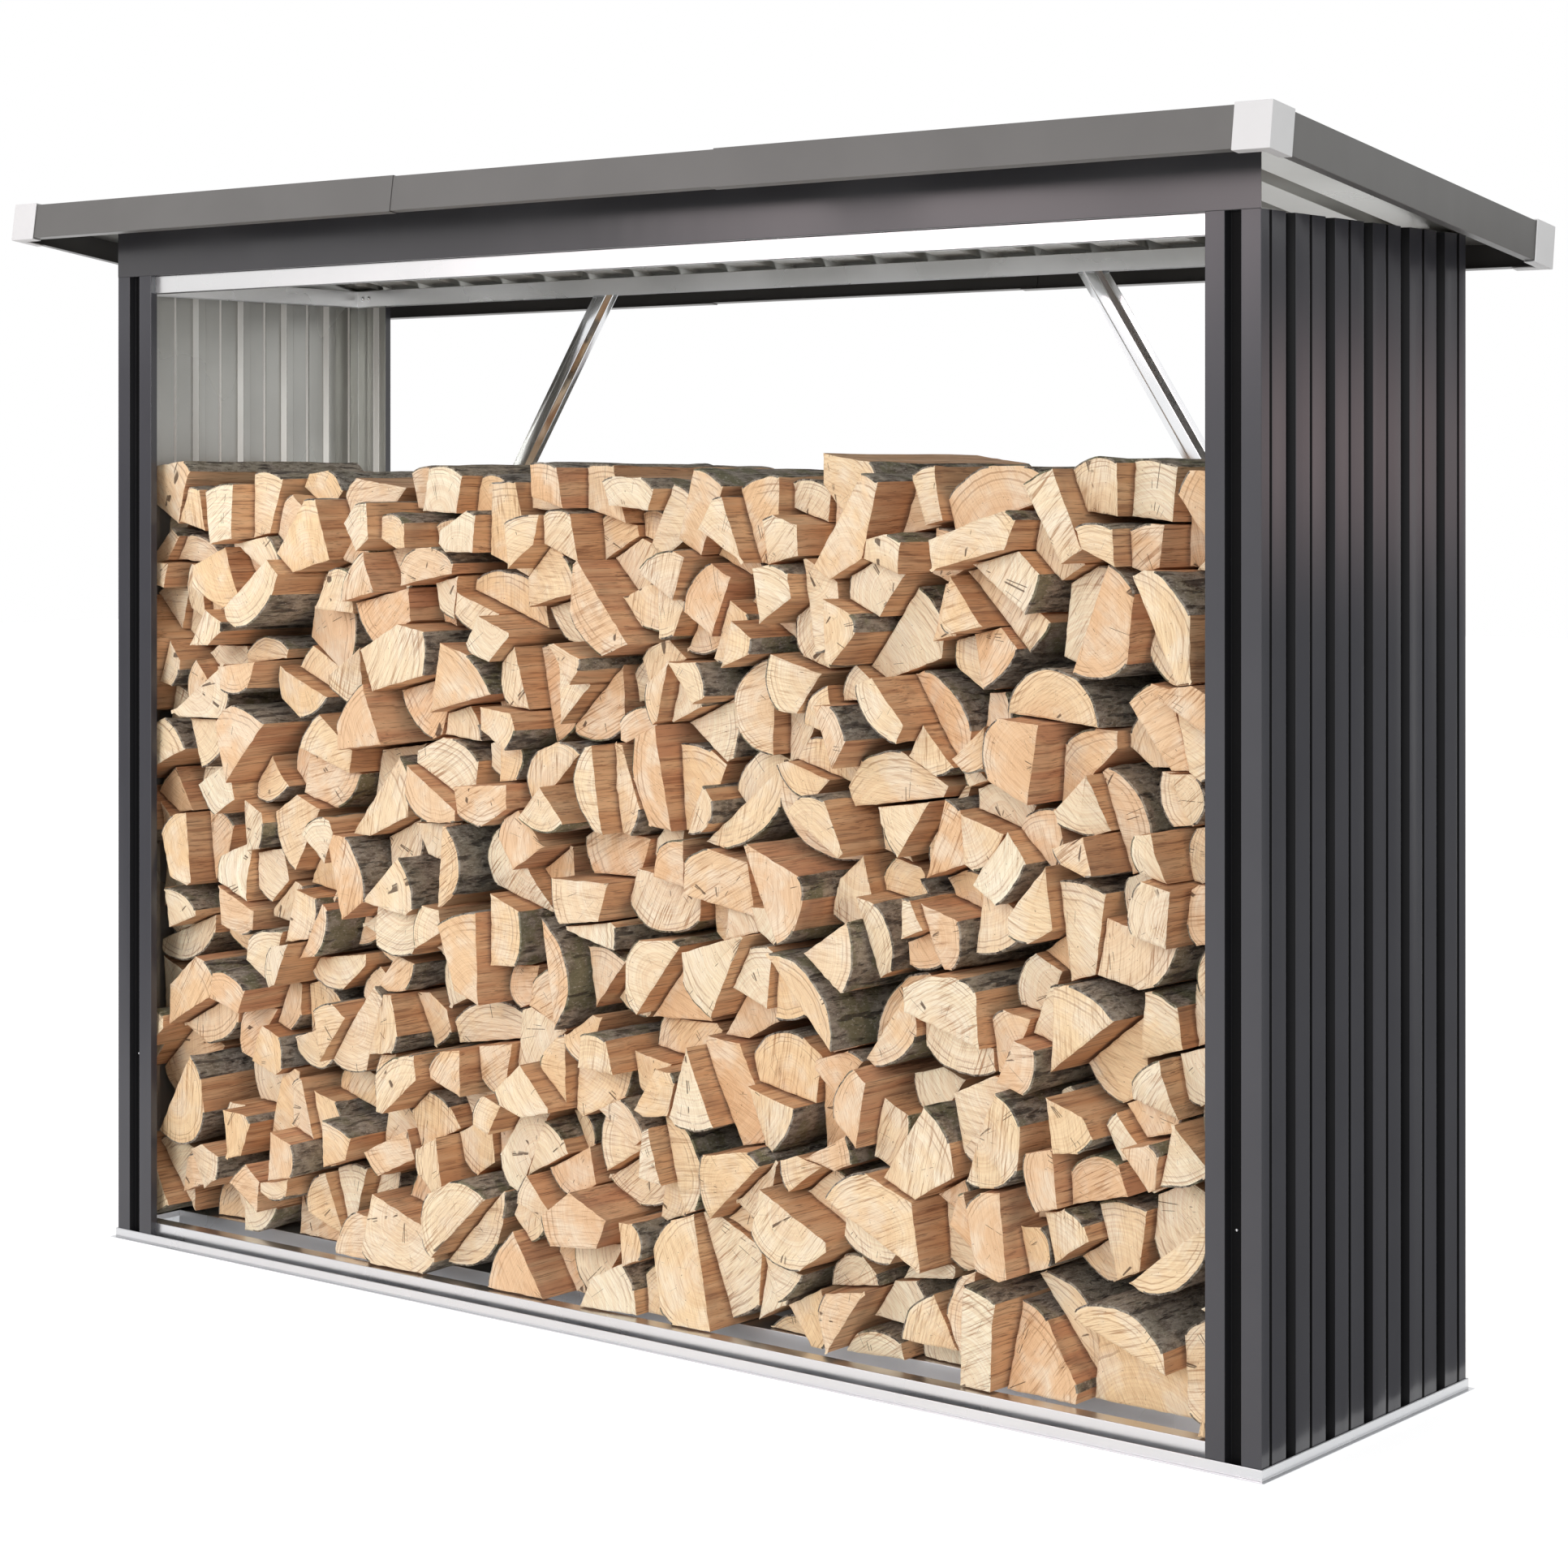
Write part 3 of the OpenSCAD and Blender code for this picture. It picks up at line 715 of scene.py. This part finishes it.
def lay_grid(bm):
    """Open the ends, and divide the sides around and along."""
    ends = [face for face in bm.faces if face.material_index == END]
    bmesh.ops.delete(bm, geom=ends, context="FACES_ONLY")
    by_cuts = {}
    for face in bm.faces:
        rims = [edge for edge in face.edges if edge_depth(edge) < LEVEL]
        cuts = int(rims[0].calc_length() / OUTLINE_STEP)
        by_cuts.setdefault(cuts, []).extend(rims)
    for cuts, edges in by_cuts.items():
        if cuts:
            bmesh.ops.subdivide_edges(bm, edges=edges, cuts=cuts, use_grid_fill=True)
    lengthwise = [edge for edge in bm.edges if edge_depth(edge) > LENGTHWISE]
    bmesh.ops.subdivide_edges(bm, edges=lengthwise, cuts=LENGTH_STEPS - 1, use_grid_fill=True)


def roughen(bm, logs, which):
    """Move each point of the sides as the axe and the bark leave them, and stand the ends askew."""
    bm.normal_update()
    moves = []
    for v in bm.verts:
        log = logs[round(v[which])]
        share = log.along(v.co.y)
        eased = share * share * (3 - 2 * share)
        spot = Vector((v.co.x, log.front + (log.back - log.front) * eased, v.co.z))
        local = spot + log.seed
        kinds = {face.material_index for face in v.link_faces}
        push = -LOG_SHRINK
        if BARK in kinds:
            lumps = BARK_ROUGH * noise.noise(local * BARK_LUMPS)
            push += lumps + 0.5 * BARK_ROUGH * noise.noise(local * BARK_RIDGES)
        if SPLIT in kinds:
            fibre = Vector((local.x * FIBRES_ACROSS, local.y * FIBRES_ALONG, local.z * FIBRES_ACROSS))
            torn = 0.5 + 0.5 * noise.noise(fibre) + 0.3 * noise.noise(fibre * FINER_FIBRES)
            push -= SPLIT_ROUGH * torn
        sway = noise.noise_vector(Vector((0, spot.y * SWAY_BENDS, 0)) + log.seed) * LOG_SWAY
        spot += v.normal * push + Vector((sway.x, 0, sway.z))
        spot.y += log.set_back(0, v.co) * (1 - eased) ** 3 - log.set_back(1, v.co) * eased ** 3
        moves.append(spot)
    for v, spot in zip(bm.verts, moves):
        v.co = spot


def close_ends(bm, logs, which):
    """Fill the ends, with a worn rim that shows the bark's thickness and the fold of two cuts."""
    outline = [edge for edge in bm.edges if edge.is_boundary]
    rim_verts = {v for edge in outline for v in edge.verts}
    ends = bmesh.ops.holes_fill(bm, edges=outline, sides=0)["faces"]
    for face in ends:
        face.material_index = END
    bm.normal_update()
    band = bmesh.ops.inset_individual(bm, faces=ends, thickness=END_RIM)["faces"]
    for face in band:
        around = {other for edge in face.edges for other in edge.link_faces}
        others = {other.material_index for other in around if other not in ends}
        face.material_index = BARK if BARK in others and SPLIT not in others else END
    for v in rim_verts:
        log = logs[round(v[which])]
        worn = END_WORN * (1 + noise.noise((v.co + log.seed) * WEAR_NICKS))
        v.co.y += worn if log.along(v.co.y) < 0.5 else -worn
    for v in bmesh.ops.poke(bm, faces=ends)["verts"]:
        v[which] = v.link_edges[0].other_vert(v)[which]
        log = logs[round(v[which])]
        front = log.along(v.co.y) < 0.5
        v.co.y = log.front + log.set_back(0, v.co) if front else log.back - log.set_back(1, v.co)


def note_grain(bm, logs):
    """Write each point's place in its log and the log's own numbers, for the finishes to read."""
    layers = bm.verts.layers
    layers.float_vector.new("grain")
    layers.float.new("tone")
    layers.float.new("girth")
    # The layers are looked up by name once all of them are made
    which = layers.float["which"]
    grain = layers.float_vector["grain"]
    tone = layers.float["tone"]
    girth = layers.float["girth"]
    for v in bm.verts:
        log = logs[round(v[which])]
        v[grain] = v.co - log.pith + Vector((0, log.seed.y, 0))
        v[tone] = log.tone
        v[girth] = log.girth
    layers.float.remove(which)


def mark_log_edges(bm):
    """Sharp edges between the finishes of a log, and at the fold of a sawn end."""
    bm.normal_update()
    for face in bm.faces:
        face.smooth = True
    for edge in bm.edges:
        kinds = {face.material_index for face in edge.link_faces}
        limit = END_SHARP if kinds == {END} else SHARP
        edge.smooth = len(kinds) == 1 and edge.calc_face_angle(math.pi) < limit


def firewood(name, materials, pick):
    """A course of logs, roughened from the plain ones of the frame."""
    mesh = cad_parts[name].data
    bm = bmesh.new()
    bm.from_mesh(mesh)
    sort_faces(bm, mesh)
    bmesh.ops.remove_doubles(bm, verts=bm.verts, dist=MERGE_WITHIN)
    bmesh.ops.dissolve_limit(bm, angle_limit=SAME_PLANE, verts=bm.verts, edges=bm.edges,
                             delimit={"MATERIAL"})
    bm.normal_update()
    which = bm.verts.layers.float.new("which")
    logs = find_logs(bm, which, pick)
    lay_grid(bm)
    roughen(bm, logs, which)
    close_ends(bm, logs, which)
    note_grain(bm, logs)
    mark_log_edges(bm)
    add_piece(bm, name + "_logs", materials, "log_wood", name)


# Light and floor

def add_lamp(name, kind, spot, aim, energy, colour=(1, 1, 1), **settings):
    """A lamp that the camera doesn't see, turned from its spot to its aim."""
    data = bpy.data.lights.new(name, kind)
    data.energy = energy
    data.color = colour
    for key, value in settings.items():
        setattr(data, key, value)
    lamp = bpy.data.objects.new(name, data)
    lamp.location = spot
    lamp.rotation_euler = (Vector(spot) - Vector(aim)).to_track_quat("Z", "Y").to_euler()
    lamp.visible_camera = False
    bpy.context.scene.collection.objects.link(lamp)


def seen_directly(tree):
    """One for camera, mirror and glass rays, which see plain white, and nought for light."""
    path = place(tree, "LightPath").outputs
    through = calc(tree, "MAXIMUM", path["Is Camera Ray"], path["Is Transmission Ray"])
    return calc(tree, "MAXIMUM", through, path["Is Glossy Ray"])


def add_card(name, foot, rise, dim, glow, fades):
    """A card over a foot line that only gloss shows: dim, and glowing where all its fades are full."""
    material, tree, inputs = new_material(name, 1.0)
    inputs["Base Color"].default_value = (0, 0, 0, 1)
    inputs["Emission Strength"].default_value = 1.0
    spot = place(tree, "SeparateXYZ", {0: object_place(tree)}).outputs
    share = 1.0
    for axis, start, end in fades:
        share = calc(tree, "MULTIPLY", stretch(tree, spot[axis], start, end), share)
    tree.links.new(blend(tree, share, dim, glow), inputs["Emission Color"])
    bm = bmesh.new()
    line = bm.edges.new([bm.verts.new(point) for point in foot])
    raised = bmesh.ops.extrude_edge_only(bm, edges=[line])["geom"]
    risen = [v for v in raised if isinstance(v, bmesh.types.BMVert)]
    bmesh.ops.translate(bm, verts=risen, vec=rise)
    card = new_object(bm, name, material)
    card.visible_camera = False
    card.visible_diffuse = False
    card.visible_shadow = False
    card.visible_transmission = False


def light_world():
    scene = bpy.context.scene
    scene.view_settings.view_transform = "Standard"
    world = bpy.data.worlds.new("studio")
    scene.world = world
    world.use_nodes = True
    tree = world.node_tree
    strength = calc(tree, "MULTIPLY_ADD", seen_directly(tree), 1.0 - WORLD_LIGHT, WORLD_LIGHT)
    background = tree.nodes["Background"]
    background.inputs["Color"].default_value = (1, 1, 1, 1)
    tree.links.new(strength, background.inputs["Strength"])


def lay_floor():
    material, tree, inputs = new_material("pale_floor", 0.9)
    inputs["Base Color"].default_value = (0.86, 0.86, 0.86, 1)
    inputs["Emission Color"].default_value = (1, 1, 1, 1)
    glow = calc(tree, "MULTIPLY", seen_directly(tree), FLOOR_GLOW)
    tree.links.new(glow, inputs["Emission Strength"])
    bm = bmesh.new()
    bmesh.ops.create_grid(bm, x_segments=1, y_segments=1, size=FLOOR_HALF)
    bmesh.ops.translate(bm, verts=bm.verts, vec=(0, 0, -FLOOR_BELOW))
    floor = new_object(bm, "floor", material)


def set_lamps():
    """The lamps, and a card at the right and one at the front for the sheen of the dark paint."""
    add_lamp("key", "SUN", spot=KEY_FROM, aim=(0, 0, 0), energy=KEY_LIGHT, angle=KEY_SPREAD)
    add_lamp("front_softbox", "AREA", spot=(-1.2, -3.7, 2.1), aim=(0.9, -0.2, 1.45), energy=25.0,
             colour=(1.0, 0.84, 0.87), shape="RECTANGLE", size=2.6, size_y=0.9)
    add_card("side_card", foot=((1.03, -0.2, 0.018), (1.03, 0.7, 0.018)), rise=(0.29, 0.35, 1.482),
             dim=(0.22, 0.22, 0.225, 1), glow=(1.1, 0.84, 0.83, 1),
             fades=(("Z", 0.95, 1.2), ("Z", 1.45, 1.22), ("Y", 0.95, 0.6)))
    add_card("front_card", foot=((-3.4, -1.6, 0), (-2.0, -1.6, 0)), rise=(0, 0, 1.45),
             dim=(0.26, 0.26, 0.27, 1), glow=(0.5, 0.46, 0.46, 1), fades=(("Z", 1.0, 1.6),))
    add_lamp("inside_fill", "SPOT", spot=(1.2, -2.2, 1.45), aim=(-0.95, -0.05, 1.3), energy=50.0,
             spot_size=math.radians(16), spot_blend=1.0, shadow_soft_size=0.25)


def dress_sheets():
    ripple = sheet_ripple()
    spangle = zinc_spangle()
    wall = painted_sheet("anthracite_paint", ripple, tint(63, 63, 68), tint(66, 66, 71),
                         rough=(0.2, 0.27), gloss=0.5, wave=1.0)
    # Painted shade: the creases, groove floors and bead sides take a near-black paint and the groove sides a
    # dark one, standing in for the shade in these recesses; the real sheet has one paint
    crease_shade = painted_sheet("crease_painted_shade", ripple, tint(13, 13, 14), tint(16, 16, 17),
                           rough=(0.45, 0.5), gloss=0.05, wave=0.2)
    groove = painted_sheet("groove_painted_shade", ripple, tint(20, 20, 22), tint(23, 23, 25),
                           rough=(0.4, 0.46), gloss=0.1, wave=0.2)
    header = painted_sheet("header_paint", ripple, tint(58, 57, 60), tint(61, 60, 63),
                           rough=(0.2, 0.27), gloss=0.62, wave=0.1)
    trim = painted_sheet("trim_paint", ripple, tint(107, 106, 104), tint(111, 110, 108),
                         rough=(0.3, 0.38), gloss=0.3, wave=0.25)
    inner = painted_sheet("trim_inside", ripple, tint(64, 62, 60), tint(68, 66, 64),
                          rough=(0.4, 0.46), gloss=0.3, wave=0.25)
    roof = painted_sheet("roof_paint", ripple, tint(78, 78, 81), tint(83, 83, 86),
                         rough=(0.32, 0.4), gloss=0.4, wave=0.4)
    backing = backing_coat("backing_coat", ripple, tint(172, 172, 167), tint(181, 181, 176), metallic=0.55)
    # Painted highlight: a near-white coat on the inner slants and the beads' front halves, standing in for
    # the light they catch
    sheen = backing_coat("backing_painted_highlight", ripple, tint(246, 246, 242), tint(250, 250, 246), metallic=0.0)
    zinc = bare_zinc("galvanised", spangle, tint(210, 211, 213), tint(220, 221, 223), rough=(0.26, 0.32))
    # Painted highlight: the top rails take a paler copy of the galvanised zinc, standing in for the light
    # their strip catches under the header
    highlight_zinc = bare_zinc("galvanised_painted_highlight", spangle, tint(230, 230, 230), tint(238, 238, 238),
                          rough=(0.26, 0.32))
    bright = bare_zinc("bright_zinc", spangle, tint(232, 233, 235), tint(240, 241, 242), rough=(0.07, 0.11))
    plastic = moulded_plastic("cap_plastic", tint(220, 220, 220), tint(228, 228, 228))

    for side, outward in (("left", LEFT), ("right", RIGHT)):
        folded_sheet("wall_" + side, outward, wall, backing, "wall_paint", crease_shade, groove, sheen)
        folded_sheet("brace_" + side, FRONT, bright, bright, "zinc_brace")
    folded_sheet("header_panel", FRONT, header, backing, "wall_paint")
    for side, outward in (("front", FRONT), ("right", RIGHT), ("back", BACK), ("left", LEFT)):
        folded_sheet("base_rail_" + side, outward, zinc, zinc, "zinc_rail")
        folded_sheet("top_rail_" + side, outward, highlight_zinc, highlight_zinc, "zinc_rail")
    for bar in (1, 2, 3):
        folded_sheet(f"floor_bar_{bar}", UP, zinc, zinc, "zinc_rail")
    for part in ("left", "middle", "right"):
        folded_sheet("roof_panel_" + part, UP, roof, backing, "roof_paint")
        folded_sheet("trim_front_" + part, FRONT, trim, inner, "trim_paint")
        folded_sheet("trim_back_" + part, BACK, trim, inner, "trim_paint")
    folded_sheet("trim_left", LEFT, trim, inner, "trim_paint")
    folded_sheet("trim_right", RIGHT, trim, inner, "trim_paint")
    for corner in ("front_left", "front_right", "back_left", "back_right"):
        moulded_cap("cap_" + corner, plastic)
    rail_screws(bright)
    groove_rivets(zinc)


def dress_logs():
    rings = growth_rings()
    materials = (sawn_end(rings), split_side(rings), rough_bark())
    pick = random.Random(LOG_SEED)
    noise.seed_set(LOG_SEED)
    courses = [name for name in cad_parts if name.startswith("log_course_")]
    courses.sort(key=lambda name: int(name.rsplit("_", 1)[1]))
    for name in courses:
        firewood(name, materials, pick)


make_camera()
light_world()
lay_floor()
set_lamps()
dress_sheets()
dress_logs()
